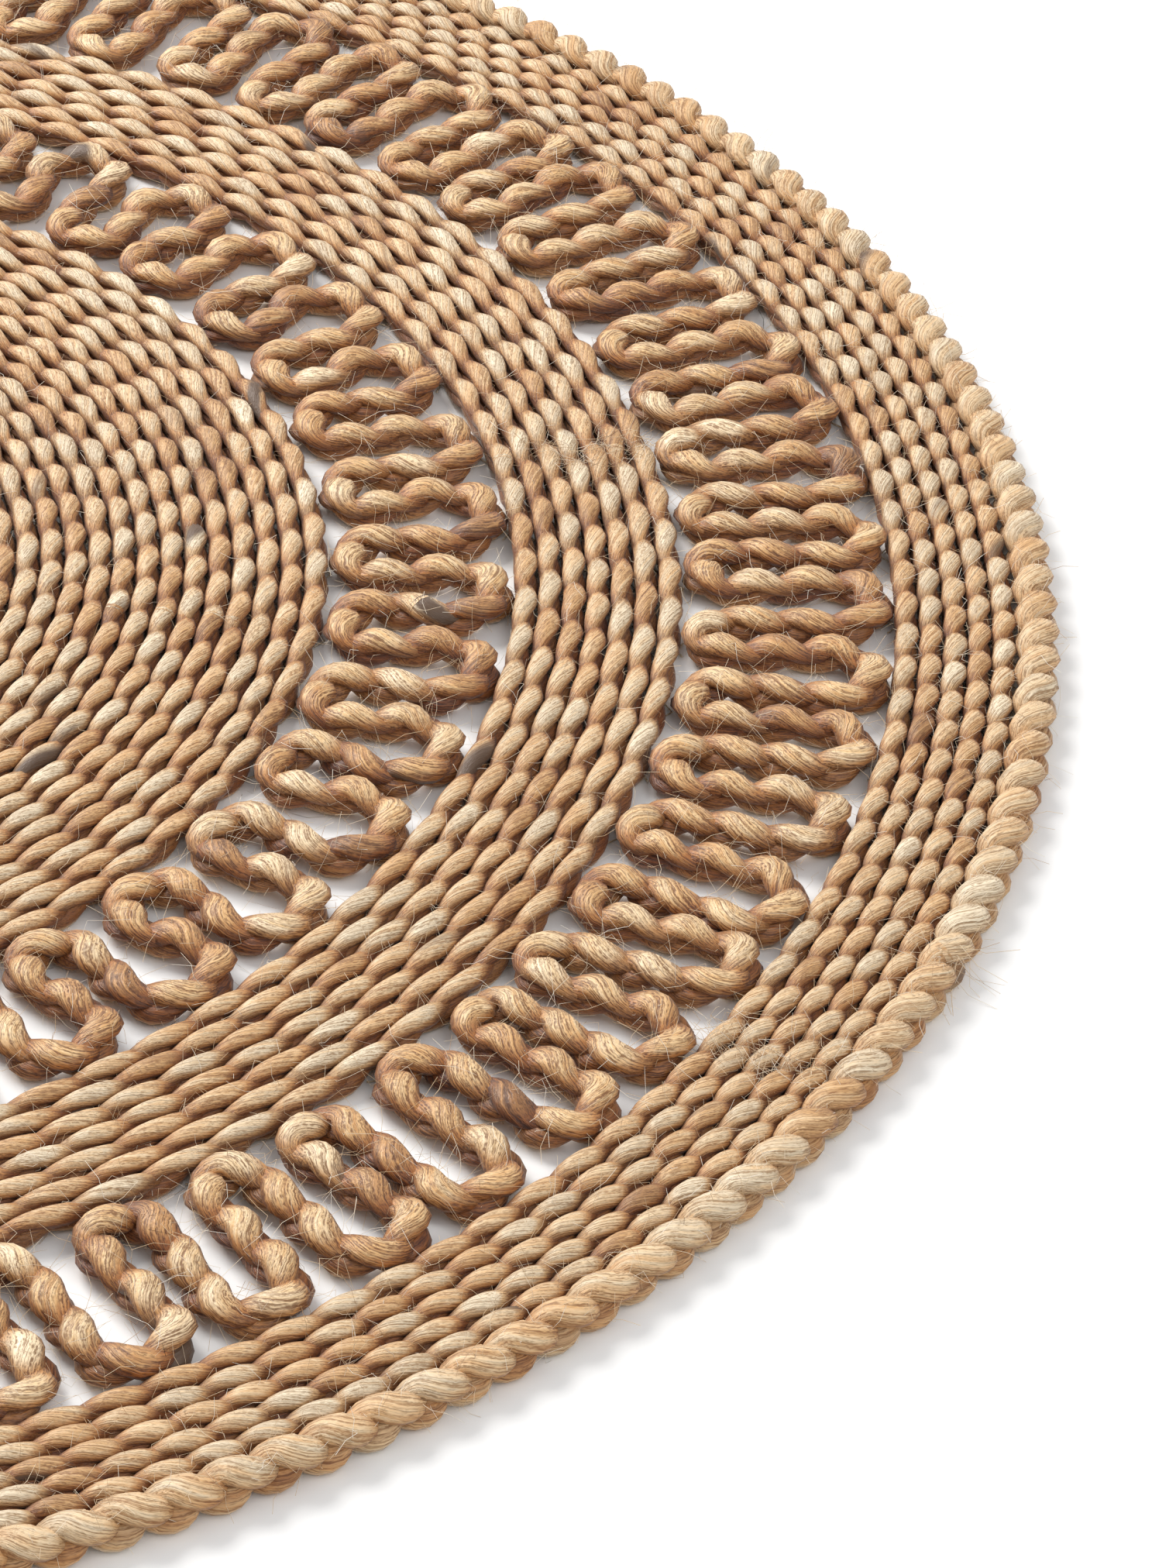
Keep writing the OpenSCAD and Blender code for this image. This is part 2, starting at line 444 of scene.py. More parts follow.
def ramp(tree, factor, stops):
    made = node(tree, "ShaderNodeValToRGB", {0: factor})
    band = made.color_ramp
    while len(band.elements) < len(stops):
        band.elements.new(0.5)
    for element, (position, colour) in zip(band.elements, stops):
        element.position = position
        element.color = (*colour, 1.0)
    return made.outputs[0]


def blended(tree, mode, factor, a, b):
    made = node(tree, "ShaderNodeMix", data_type="RGBA", blend_type=mode)
    for socket, value in ((0, factor), (6, a), (7, b)):
        if isinstance(value, bpy.types.NodeSocket):
            tree.links.new(value, made.inputs[socket])
        else:
            made.inputs[socket].default_value = value
    return made.outputs[2]


def streaks(tree, fibre, apart, along, across, detail):
    """Noise from 0 to 1 in streaks along the fibres; apart moves it for each strand."""
    at = vector(tree, "ADD", vector(tree, "MULTIPLY", fibre, (along, across, across)), apart)
    made = node(
        tree, "ShaderNodeTexNoise", {"Vector": at, "Scale": 1.0, "Detail": detail, "Roughness": 0.6}
    )
    return made.outputs[0]


print(f"bundles of fibre are about {1000 / BUNDLE_STREAKS[1]:.0f} mm wide")

# %% [markdown]
# ## The jute itself
# A colour ramp turns the slow noise into tints. The fine noise and a shade painted by depth then
# multiply it, so a streak or the painted shade of a hollow darkens every tint alike, and bark is
# mixed in where the noise peaks.
# The tree is the same for the rows, the loops and the border, and each gets its own ramps.

# %% Jute material
BARK_PATCHES = [(0.70, (0.0, 0.0, 0.0)), (0.76, (1.0, 1.0, 1.0))]
BARK = (0.10, 0.055, 0.03, 1.0)
BUNDLE_TINT = 0.45  # how much a bundle's own streak moves its tint
FIBRE_SHINE = 0.35  # how much smoother a pale fibre is than a dark one
BUNDLE_RELIEF = 1.4  # height of a bundle against that of a single fibre
RELIEF_DEPTH = 0.45 * MM


def jute(name, tints, fibre_shade, painted_depth_shade, roughness, relief_strength):
    """Jute with its own tints, shades for its single fibres, and painted shade for its hollows."""
    material = bpy.data.materials.new(name)
    material.use_nodes = True
    tree = material.node_tree
    shader = tree.nodes["Principled BSDF"]
    fibre = node(tree, "ShaderNodeAttribute", attribute_name="fibre").outputs["Vector"]
    strand = node(tree, "ShaderNodeAttribute", attribute_name="strand").outputs["Fac"]
    apart = [calc(tree, "MULTIPLY", strand, step) for step in STRAND_APART]
    apart = combine(tree, *apart)

    patch = streaks(tree, fibre, apart, *TINT_STREAKS)
    bundle = streaks(tree, fibre, apart, *BUNDLE_STREAKS)
    single = streaks(tree, fibre, apart, *FIBRE_STREAKS)
    tint = calc(tree, "MULTIPLY_ADD", calc(tree, "SUBTRACT", bundle, 0.5), BUNDLE_TINT, patch)
    colour = ramp(tree, tint, tints)
    colour = blended(tree, "MULTIPLY", 1.0, colour, ramp(tree, single, fibre_shade))
    # Painted shade: the colour is darkened by depth, towards the hollows in the middle of the braid.
    depth = node(tree, "ShaderNodeAttribute", attribute_name="depth").outputs["Fac"]
    colour = blended(tree, "MULTIPLY", 1.0, colour, ramp(tree, depth, painted_depth_shade))
    rare = streaks(tree, fibre, apart, *BARK_STREAKS)
    colour = blended(tree, "MIX", ramp(tree, rare, BARK_PATCHES), colour, BARK)

    tree.links.new(colour, shader.inputs["Base Color"])
    smoothed = calc(tree, "MULTIPLY_ADD", single, -FIBRE_SHINE, roughness)
    tree.links.new(smoothed, shader.inputs["Roughness"])
    shader.inputs["Specular IOR Level"].default_value = 0.5
    shader.inputs["Sheen Weight"].default_value = 0.12
    shader.inputs["Sheen Roughness"].default_value = 0.5
    relief = calc(tree, "MULTIPLY_ADD", bundle, BUNDLE_RELIEF, single)
    bump = node(
        tree,
        "ShaderNodeBump",
        {"Height": relief, "Strength": relief_strength, "Distance": RELIEF_DEPTH},
    )
    tree.links.new(bump.outputs[0], shader.inputs["Normal"])
    return material


print("dark patches of bark begin where the noise passes", BARK_PATCHES[0][0])

# %% [markdown]
# ## Tints of the three jutes
# Each list is a colour ramp: a place on the ramp, then a colour. The shades multiply the tints,
# so their colours may go above 1. The loops are more golden, and the shade painted in their
# hollows is deeper. The border stands free on one side, where light reaches into its hollows, so
# the shade painted there is the palest.

# %% Tints
STRAW = [
    (0.26, (0.30, 0.15, 0.055)),
    (0.37, (0.50, 0.29, 0.125)),
    (0.45, (0.59, 0.39, 0.21)),
    (0.52, (0.62, 0.46, 0.285)),
    (0.60, (0.56, 0.45, 0.315)),
    (0.73, (0.74, 0.63, 0.47)),
]
GOLDEN = [
    (0.26, (0.22, 0.10, 0.035)),
    (0.37, (0.42, 0.22, 0.085)),
    (0.45, (0.54, 0.33, 0.15)),
    (0.53, (0.60, 0.42, 0.23)),
    (0.62, (0.62, 0.47, 0.30)),
    (0.75, (0.80, 0.66, 0.47)),
]
FINE_SHADE = [(0.38, (0.55, 0.43, 0.31)), (0.49, (0.96, 0.94, 0.91)), (0.60, (1.26, 1.25, 1.23))]
DEEP_SHADE = [(0.38, (0.40, 0.28, 0.18)), (0.49, (0.93, 0.89, 0.84)), (0.60, (1.36, 1.34, 1.30))]
# Painted shade by depth: the braid is darkened towards its middle, where the hollows lie in shade.
ROW_PAINTED_SHADE = [(0.18, (1.0, 1.0, 1.0)), (0.36, (0.76, 0.58, 0.39)), (0.60, (0.34, 0.17, 0.06))]
LOOP_PAINTED_SHADE = [(0.16, (1.0, 1.0, 1.0)), (0.45, (0.64, 0.43, 0.25)), (0.85, (0.36, 0.19, 0.08))]
BORDER_PAINTED_SHADE = [(0.25, (1.0, 1.0, 1.0)), (0.60, (0.80, 0.67, 0.52)), (0.95, (0.60, 0.44, 0.30))]
ROW_JUTE = jute("row_jute", STRAW, FINE_SHADE, ROW_PAINTED_SHADE, 0.66, 0.8)
LOOP_JUTE = jute("loop_jute", GOLDEN, DEEP_SHADE, LOOP_PAINTED_SHADE, 0.64, 0.9)
BORDER_JUTE = jute("border_jute", STRAW, FINE_SHADE, BORDER_PAINTED_SHADE, 0.72, 0.9)
print("jutes:", ROW_JUTE.name, LOOP_JUTE.name, BORDER_JUTE.name)

# %% [markdown]
# ## Rows
# A row is the plait tree run on a circle. The number of turns of the plait is the circle's
# length over the usual length of one turn, rounded, so that the strands meet where the ring
# closes. The ring closes where the rug's maker joined the ends, one place for each band.

# %% Braid helpers
RING_STEP = 4 * MM
LEAST_POINTS = 24  # points in the smallest ring
HALF_HEIGHT = 0.26  # half height of a strand, as a share of the braid's height
UNEVENNESS = 0.12
SEED_STEP = 1.37
seeds = iter(range(1, 1000))
plaits = {}  # the plait that stands for each CAD node


def ring_points(radius, start):
    count = max(LEAST_POINTS, int(math.tau * radius / RING_STEP))
    angles = [start + math.tau * i / count for i in range(count)]
    return [(radius * math.cos(a), radius * math.sin(a), 0.0) for a in angles]


def plait_values(points, width, height, turn_length, shape, material, lift=0.0, samples=18, sides=10):
    """What the plait tree needs to fill a braid of this width and height."""
    length = sum(math.dist(a, b) for a, b in zip(points, points[1:] + points[:1]))
    half_height = HALF_HEIGHT * height
    return {
        "Turns": max(2, round(length / turn_length)) * (1 + OVERLAP / length),
        "Samples per turn": samples,
        "Sides": sides,
        "Middle height": lift + height / 2,
        "Swing up": height / 2 - half_height,
        "Swing across": shape[0] * width,
        "Half width": shape[1] * width,
        "Half height": half_height,
        "Unevenness": UNEVENNESS,
        "Seed": float(next(seeds)) * SEED_STEP,
        "Material": material,
    }


def braided(name, node_name, points, values):
    """Plaits a braid along a closed path, in place of a CAD node."""
    piece = grow(name, points, PLAIT, values)
    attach(piece, "root")
    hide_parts(node_name)
    plaits[node_name] = piece
    return piece


print(f"a strand is {2 * HALF_HEIGHT * ROW_H / MM:.1f} mm high in a row")

# %% [markdown]
# ## Bands of rows
# The plait is drawn out to a long slant in the rows, least of all in the outer band. Each row's
# own turn is a little longer or shorter than its neighbours', so that their lobes don't line up
# in spokes. The rows get few samples and sides, because there are so many of them.

# %% Rows
# The length of braid in which a strand comes back to where it started
TURN_LENGTHS = {"centre": 74 * MM, "middle": 76 * MM, "outer": 62 * MM}
BORDER_TURN_LENGTH = 56 * MM
COIL_TURN_LENGTH = 15 * MM
PITCH_RANGE = (0.88, 1.12)
# A strand's swing across the braid and its half width over the edge, as shares of the braid's width
ROW_SHAPE = (0.09, 0.43)
BORDER_SHAPE = (0.14, 0.42)
JOIN_ANGLES = {
    "centre": math.radians(-5.0),
    "middle": math.radians(14.0),
    "outer": math.radians(-30.0),
    "border": math.radians(-22.0),
}
# Samples in each turn of the plait, and sides of a strand
BAND_SAMPLES = {"centre": 16, "middle": 20, "outer": 18}
BAND_SIDES = {"centre": 8, "middle": 9, "outer": 10}
BORDER_SAMPLES = 24

pitch_dice = random.Random(11)
for band, rows in (("centre", CENTRE_ROWS), ("middle", MIDDLE_ROWS), ("outer", OUTER_ROWS)):
    for name in rows:
        ring = ring_points(outer_radius(name) - ROW_W / 2, JOIN_ANGLES[band])
        pitch = TURN_LENGTHS[band] * pitch_dice.uniform(*PITCH_RANGE)
        values = plait_values(
            ring,
            ROW_W,
            ROW_H,
            pitch,
            ROW_SHAPE,
            ROW_JUTE,
            samples=BAND_SAMPLES[band],
            sides=BAND_SIDES[band],
        )
        braided(f"{name}_plait", name, ring, values)
print("plaited rows:", len(plaits))

# %% [markdown]
# ## Border and coil
# The border is the same plait, fatter and shorter in its turns, so that its lobes bulge like
# beads along the rug's edge. The coil in the middle is the tightest ring that the braid will
# bend to, so its turns are very short.

# %% Border and coil
ring = ring_points(RUG_R - BORDER_W / 2, JOIN_ANGLES["border"])
values = plait_values(
    ring, BORDER_W, BORDER_H, BORDER_TURN_LENGTH, BORDER_SHAPE, BORDER_JUTE, samples=BORDER_SAMPLES
)
braided("border_plait", "border_braid", ring, values)
ring = ring_points(outer_radius("centre_coil") / 2, 0.0)
values = plait_values(ring, ROW_W, ROW_H, COIL_TURN_LENGTH, ROW_SHAPE, ROW_JUTE)
braided("coil_plait", "centre_coil", ring, values)
print(f"border: {len(plaits['border_braid'].data.polygons)} faces")

# %% [markdown]
# ## Loops
# The openwork braid winds in and out between two bands. Its path is a chain of round loop ends,
# each touching its band, joined by straight legs that run from one end to the next. A leg is the
# line that touches both circles and crosses between them. No two loops are quite alike, because
# the braid is bent by hand, so each circle's place and size is varied a little.

# %% Loop path
INNER_LOOP_COUNT = 43
OUTER_LOOP_COUNT = 68
LOOP_W = 15 * MM
LOOP_END_GAP = 4 * MM
BEND_SHARE = 0.3  # widest bend of a loop end, as a share of the loops' width
BEND_STEPS = 14
BEND_RANGE = (0.88, 1.08)
ANGLE_RANGE = (-0.13, 0.13)  # how far a loop end strays, as a share of the way to the next one


def loop_ends(inner_r, outer_r, count, dice):
    """Centre and bend radius of each loop end, the outer and inner ones in turn."""
    chord = 2 * math.sin(math.pi / count)
    low_r = inner_r + LOOP_W / 2
    high_r = outer_r - LOOP_W / 2
    widest = BEND_SHARE * (high_r - low_r)
    low_bend = min(widest, (chord * low_r - LOOP_W - LOOP_END_GAP) / (2 - chord))
    high_bend = min(widest, (chord * high_r - LOOP_W - LOOP_END_GAP) / (2 + chord))
    ends = []
    for i in range(2 * count):
        high = i % 2 == 0
        bend = (high_bend if high else low_bend) * dice.uniform(*BEND_RANGE)
        radius = high_r - bend if high else low_r + bend
        angle = math.tau * (i + dice.uniform(*ANGLE_RANGE)) / (2 * count)
        ends.append((Vector((radius * math.cos(angle), radius * math.sin(angle))), bend, high))
    return ends


def loop_path(ends):
    """Points of the closed path that goes round the outer ends one way and the inner the other."""
    touches = []
    for i, (centre, bend, high) in enumerate(ends):
        other, other_bend, _ = ends[(i + 1) % len(ends)]
        across = other - centre
        turn = math.acos(min(1.0, (bend + other_bend) / across.length))
        touches.append(math.atan2(across.y, across.x) + (-turn if high else turn))
    points = []
    for i, (centre, bend, high) in enumerate(ends):
        start = touches[i - 1] + math.pi
        sweep = (touches[i] - start) % math.tau
        if not high:
            sweep -= math.tau
        for k in range(BEND_STEPS + 1):
            angle = start + sweep * k / BEND_STEPS
            x = centre.x + bend * math.cos(angle)
            y = centre.y + bend * math.sin(angle)
            points.append(Vector((x, y, 0)))
    middle_of_leg = (points[0] + points[-1]) / 2
    return [tuple(point) for point in [middle_of_leg] + points]


print(f"a loop's braid is {LOOP_W / MM:.0f} mm wide, and its ends are {LOOP_END_GAP / MM:.0f} mm apart")

# %% [markdown]
# ## Plaiting the loops
# The same plait tree runs along the winding path. The braid is a little fatter than a row's, so
# its strands swing wider, and it hangs clear of the floor by what the CAD box says.

# %% Loops
LOOP_SHAPE = (0.12, 0.41)
LOOP_TURN_LENGTH = 66 * MM
LOOP_SAMPLES = 22
LOOP_SIDES = 8
LOOP_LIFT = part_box("inner_openwork")[0][2]
LOOP_H = top_of("inner_openwork") - LOOP_LIFT

for name, inner_r, outer_r, count in (
    ("inner_openwork", INNER_LOOPS_R, MIDDLE_R, INNER_LOOP_COUNT),
    ("outer_openwork", OUTER_LOOPS_R, OUTER_R, OUTER_LOOP_COUNT),
):
    path = loop_path(loop_ends(inner_r, outer_r, count, random.Random(count)))
    values = plait_values(
        path,
        LOOP_W,
        LOOP_H,
        LOOP_TURN_LENGTH,
        LOOP_SHAPE,
        LOOP_JUTE,
        LOOP_LIFT,
        samples=LOOP_SAMPLES,
        sides=LOOP_SIDES,
    )
    braided(f"{name}_plait", name, path, values)
    print(f"{name}: {count} loops")

# %% [markdown]
# ## Loose fibres
# Jute sheds. Fine pale hairs stand off every braid, most of all off the loops, and where the
# maker joined two lengths of braid the cut ends fray into tufts. Modelled one by one they would
# be thousands of objects. Geometry Nodes scatter one bent hair over the braids instead, each
# copy turned, leaned and stretched at random from a fixed seed. For a tuft the same tree is
# run on a small patch of surface, with longer hairs that are combed one way.

# %% One hair
HAIR_INPUTS = {
    "Geometry": "Geometry",
    "Hairs per square metre": "Float",
    "Length": "Float",
    "Thickness": "Float",
    "Lift": "Float",
    "Comb": "Vector",
    "Highest point": "Float",
    "Seed": "Int",
    "Material": "Material",
}
HAIR_POINTS = 4
HAIR_SIDES = 3
HAIR_CURL = 0.25  # how far a hair waves to the side, as a share of its length
CURL_WAVES = 5.0  # radians of the wave from root to tip
SEED_APART = 101  # keeps the random values of one tree apart


def random_value(tree, seed, low, high, number):
    """A random number, or a random vector when low is a tuple, that differs with number."""
    seed = calc(tree, "ADD", seed, number * SEED_APART)
    if isinstance(low, tuple):
        made = node(tree, "FunctionNodeRandomValue", data_type="FLOAT_VECTOR")
        first, out = 0, 0
    else:
        made = node(tree, "FunctionNodeRandomValue", data_type="FLOAT")
        first, out = 2, 1
    made.inputs[first].default_value = low
    made.inputs[first + 1].default_value = high
    tree.links.new(seed, made.inputs["Seed"])
    return made.outputs[out]


def bent_hair(tree, given):
    """One hair, a metre long along Z before it is scaled, that bends over to one side."""
    line = node(tree, "GeometryNodeCurvePrimitiveLine", {"End": (0.0, 0.0, 1.0)}).outputs[0]
    line = node(
        tree, "GeometryNodeResampleCurve", {"Curve": line, "Count": HAIR_POINTS}
    ).outputs[0]
    along = node(tree, "GeometryNodeSplineParameter").outputs["Factor"]
    lean = calc(tree, "POWER", along, 2.0)
    curl = calc(tree, "MULTIPLY", wave(tree, along, CURL_WAVES), HAIR_CURL)
    bend = combine(tree, lean, curl, 0.0)
    line = node(tree, "GeometryNodeSetPosition", {"Geometry": line, "Offset": bend}).outputs[0]
    radius = calc(tree, "DIVIDE", given["Thickness"], calc(tree, "MULTIPLY", given["Length"], 2.0))
    section = node(
        tree, "GeometryNodeCurvePrimitiveCircle", {"Resolution": HAIR_SIDES, "Radius": radius}
    ).outputs[0]
    return node(
        tree,
        "GeometryNodeCurveToMesh",
        {"Curve": line, "Profile Curve": section, "Fill Caps": True},
    ).outputs[0]


print(f"a hair has {HAIR_POINTS} points along it and {HAIR_SIDES} sides")

# %% [markdown]
# ## A scatter of hairs
# The points are scattered at random over a surface, and a hair stands on each. It is turned to
# point away from the surface, by as much as Lift says, and then any way at random, and it is
# drawn out to its own length. Hairs are real threads, so none goes below the floor, and none
# rises past the highest point.

# %% Hair tree
SHORTEST_HAIR = 0.35  # as a share of the longest


def hair_tree():
    """The tree that scatters bent hairs over a surface."""
    tree = bpy.data.node_groups.new("hairs", "GeometryNodeTree")
    given = add_inputs(tree, HAIR_INPUTS)
    seed = given["Seed"]
    scatter = node(
        tree,
        "GeometryNodeDistributePointsOnFaces",
        {"Mesh": given["Geometry"], "Density": given["Hairs per square metre"], "Seed": seed},
        distribute_method="RANDOM",
    )
    away = vector(tree, "ADD", scaled(tree, scatter.outputs["Normal"], given["Lift"]), given["Comb"])
    away = vector(tree, "ADD", away, random_value(tree, seed, (-1.0,) * 3, (1.0,) * 3, 1))
    spin = combine(tree, 0.0, 0.0, random_value(tree, seed, 0.0, math.tau, 2))
    turned = node(
        tree, "FunctionNodeAlignRotationToVector", {"Rotation": spin, "Vector": away}, axis="Z"
    ).outputs[0]
    size = calc(tree, "MULTIPLY", random_value(tree, seed, SHORTEST_HAIR, 1.0, 3), given["Length"])
    hairs = node(
        tree,
        "GeometryNodeInstanceOnPoints",
        {
            "Points": scatter.outputs["Points"],
            "Instance": bent_hair(tree, given),
            "Rotation": turned,
            "Scale": combine(tree, given["Length"], given["Length"], size),
        },
    ).outputs[0]
    shape = node(
        tree,
        "GeometryNodeStoreNamedAttribute",
        {"Geometry": hairs, "Name": "strand", "Value": random_value(tree, seed, 0.0, 1.0, 4)},
        data_type="FLOAT",
        domain="INSTANCE",
    ).outputs[0]
    shape = node(tree, "GeometryNodeRealizeInstances", {"Geometry": shape}).outputs[0]
    here = node(tree, "GeometryNodeInputPosition").outputs[0]
    kept = vector(tree, "MAXIMUM", here, ABOVE_FLOOR)
    kept = vector(tree, "MINIMUM", kept, combine(tree, FAR, FAR, given["Highest point"]))
    shape = node(tree, "GeometryNodeSetPosition", {"Geometry": shape, "Position": kept}).outputs[0]
    finished(tree, shape, given)
    return tree


def hair_fibre():
    """Pale, slightly shiny fibre; each hair has its own tint."""
    material = bpy.data.materials.new("loose_fibre")
    material.use_nodes = True
    tree = material.node_tree
    shader = tree.nodes["Principled BSDF"]
    strand = node(tree, "ShaderNodeAttribute", attribute_name="strand").outputs["Fac"]
    tints = [
        (0.0, (0.42, 0.25, 0.12)),
        (0.3, (0.66, 0.48, 0.28)),
        (0.7, (0.80, 0.66, 0.48)),
        (1.0, (0.92, 0.86, 0.76)),
    ]
    tree.links.new(ramp(tree, strand, tints), shader.inputs["Base Color"])
    shader.inputs["Roughness"].default_value = 0.5
    shader.inputs["Sheen Weight"].default_value = 0.2
    return material


HAIRS = hair_tree()
LOOSE_FIBRE = hair_fibre()
print("nodes in the hair tree:", len(HAIRS.nodes))

# %% [markdown]
# ## Where the hairs grow
# The hairs start on the finished braids, so a band's pieces are first copied into one mesh. Only
# faces that look up or outwards are kept, because nobody sees hairs underneath.

# %% Hairs over the rug
LOOKS_DOWN = -0.1
HAIR_RISE = 6 * MM  # how far the highest hair may stand above the border


def upper_faces(pieces):
    """One mesh of the upward faces of some pieces."""
    joined = bmesh.new()
    for piece in pieces:
        joined.from_mesh(piece.data)
    hidden = [face for face in joined.faces if face.normal.z < LOOKS_DOWN]
    bmesh.ops.delete(joined, geom=hidden, context="FACES")
    mesh = bpy.data.meshes.new("scatter_over")
    joined.to_mesh(mesh)
    joined.free()
    return mesh


def hairs_over(name, mesh, density, length, comb=(0, 0, 0), lift=0.45, thickness=0.17 * MM):
    """Scatters hairs over a mesh, as a piece of its own."""
    piece = grow_on(
        name,
        mesh,
        HAIRS,
        {
            "Hairs per square metre": float(density),
            "Length": length,
            "Thickness": thickness,
            "Lift": lift,
            "Comb": comb,
            "Highest point": BORDER_H + HAIR_RISE,
            "Seed": next(seeds),
            "Material": LOOSE_FIBRE,
        },
    )
    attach(piece, "root")
    return piece


# Piece, braids that it grows on, hairs in a square metre, longest hair, slot
HAIRY = (
    ("centre_hairs", CENTRE_ROWS, 3500, 8 * MM, "row_jute"),
    ("middle_hairs", MIDDLE_ROWS, 6000, 9 * MM, "row_jute"),
    ("outer_hairs", OUTER_ROWS, 9000, 10 * MM, "row_jute"),
    ("inner_loop_hairs", ["inner_openwork"], 9000, 13 * MM, "loop_jute"),
    ("outer_loop_hairs", ["outer_openwork"], 10000, 14 * MM, "loop_jute"),
    ("border_hairs", ["border_braid"], 16000, 10 * MM, "border_jute"),
)
for name, braids, density, length, slot_name in HAIRY:
    surface = upper_faces([plaits[braid] for braid in braids])
    piece = hairs_over(name, surface, density, length)
    print(f"{name}: {len(piece.data.polygons)} faces")

# %% [markdown]
# ## Tufts at the joins
# Each band has one place where a length of braid ends and the next begins, row beside row. The
# ends are frayed there, so a few rows in a line each have a tuft, and so has the border.

# %% Tufts
TUFT_R = 5 * MM
TUFT_DENSITY = 350000
TUFT_COMB = 1.2  # how strongly a tuft is combed along the braid
TUFT_LIFT = 0.2
TUFT_THICKNESS = 0.2 * MM
TUFT_STRAY = 8  # mm that a tuft may lie from its band's join, along the braid
ROW_TUFT_LENGTH = 14 * MM
BORDER_TUFT_LENGTH = 20 * MM
ROW_TUFT_Z = 0.85 * ROW_H
BORDER_TUFT_Z = 0.7 * BORDER_H


def patch(radius, angle, height):
    """A small upward disc of surface with its middle at a place on the rug."""
    shape = bmesh.new()
    bmesh.ops.create_circle(shape, cap_ends=True, radius=TUFT_R, segments=8)
    at = Vector((radius * math.cos(angle), radius * math.sin(angle), height))
    bmesh.ops.translate(shape, vec=at, verts=shape.verts)
    mesh = bpy.data.meshes.new("patch")
    shape.to_mesh(mesh)
    shape.free()
    return mesh


def tuft(name, radius, angle, height, length, outwards=0.0):
    """A tuft that is combed along the braid, clockwise, and outwards by a share."""
    comb = Vector((math.sin(angle), -math.cos(angle), 0)) * TUFT_COMB
    comb += Vector((math.cos(angle), math.sin(angle), 0)) * outwards
    return hairs_over(
        name,
        patch(radius, angle, height),
        TUFT_DENSITY,
        length,
        tuple(comb),
        TUFT_LIFT,
        TUFT_THICKNESS,
    )


dice = random.Random(5)
TUFTED = (
    ("centre", CENTRE_ROWS[12:17], JOIN_ANGLES["centre"]),
    ("middle", MIDDLE_ROWS[2:], JOIN_ANGLES["middle"]),
    ("outer", OUTER_ROWS, JOIN_ANGLES["outer"]),
)
for band, rows, angle in TUFTED:
    for number, name in enumerate(rows):
        radius = outer_radius(name) - ROW_W / 2
        place = angle + dice.uniform(-TUFT_STRAY, TUFT_STRAY) * MM / radius
        tuft(f"{band}_tuft_{number + 1}", radius, place, ROW_TUFT_Z, ROW_TUFT_LENGTH)
tuft(
    "border_tuft",
    RUG_R - 0.35 * BORDER_W,
    JOIN_ANGLES["border"],
    BORDER_TUFT_Z,
    BORDER_TUFT_LENGTH,
    outwards=0.8,
)
print("tufts:", sum(len(rows) for _, rows, _ in TUFTED) + 1)

# %% [markdown]
# ## Sewing
# The braids are sewn side by side from below with a strong twine, which runs zigzag from one
# braid to the next. It lies in the groove between them and only shows when the rug is turned
# over. The tree puts every second point of the groove's path to one side and the others to the
# other side, and sweeps a thin section along it.

# %% Stitch tree
STITCH_INPUTS = {
    "Geometry": "Geometry",
    "Stitch length": "Float",
    "Reach": "Float",
    "Thickness": "Float",
    "Material": "Material",
}
THREAD_SIDES = 4


def stitch_tree():
    """The tree that turns a seam's path into a zigzag of thread."""
    tree = bpy.data.node_groups.new("stitches", "GeometryNodeTree")
    given = add_inputs(tree, STITCH_INPUTS)
    path = node(tree, "GeometryNodeMeshToCurve", {0: given["Geometry"]}).outputs[0]
    path = node(
        tree,
        "GeometryNodeResampleCurve",
        {"Curve": path, "Length": given["Stitch length"]},
        mode="LENGTH",
    ).outputs[0]
    index = node(tree, "GeometryNodeInputIndex").outputs[0]
    side = calc(tree, "MULTIPLY_ADD", calc(tree, "MODULO", index, 2.0), 2.0, -1.0)
    tangent = node(tree, "GeometryNodeInputTangent").outputs[0]
    across = vector(tree, "CROSS_PRODUCT", tangent, (0, 0, 1))
    offset = scaled(tree, across, calc(tree, "MULTIPLY", side, given["Reach"]))
    path = node(tree, "GeometryNodeSetPosition", {"Geometry": path, "Offset": offset}).outputs[0]
    radius = calc(tree, "MULTIPLY", given["Thickness"], 0.5)
    section = node(
        tree, "GeometryNodeCurvePrimitiveCircle", {"Resolution": THREAD_SIDES, "Radius": radius}
    ).outputs[0]
    thread = node(
        tree,
        "GeometryNodeCurveToMesh",
        {"Curve": path, "Profile Curve": section, "Fill Caps": True},
    ).outputs[0]
    finished(tree, thread, given)
    return tree


def twine():
    """Matt undyed twine, with a fine pale and dark mottle from its twist."""
    material = bpy.data.materials.new("sewing_thread")
    material.use_nodes = True
    tree = material.node_tree
    shader = tree.nodes["Principled BSDF"]
    at = node(tree, "ShaderNodeTexCoord").outputs["Object"]
    mottle = node(tree, "ShaderNodeTexNoise", {"Vector": at, "Scale": 900.0, "Detail": 2.0}).outputs[0]
    tints = [(0.35, (0.48, 0.38, 0.25)), (0.55, (0.72, 0.63, 0.48)), (0.7, (0.84, 0.77, 0.64))]
    tree.links.new(ramp(tree, mottle, tints), shader.inputs["Base Color"])
    shader.inputs["Roughness"].default_value = 0.85
    bump = node(tree, "ShaderNodeBump", {"Height": mottle, "Strength": 0.6, "Distance": 0.2 * MM})
    tree.links.new(bump.outputs[0], shader.inputs["Normal"])
    return material


STITCHES = stitch_tree()
TWINE = twine()
print("nodes in the stitch tree:", len(STITCHES.nodes))

# %% [markdown]
# ## Where the stitches run
# A seam ring lies in the groove between two rows. At a loop end there is only a short seam, as
# long as the loop end touches the row, so many short arcs make up those pieces.

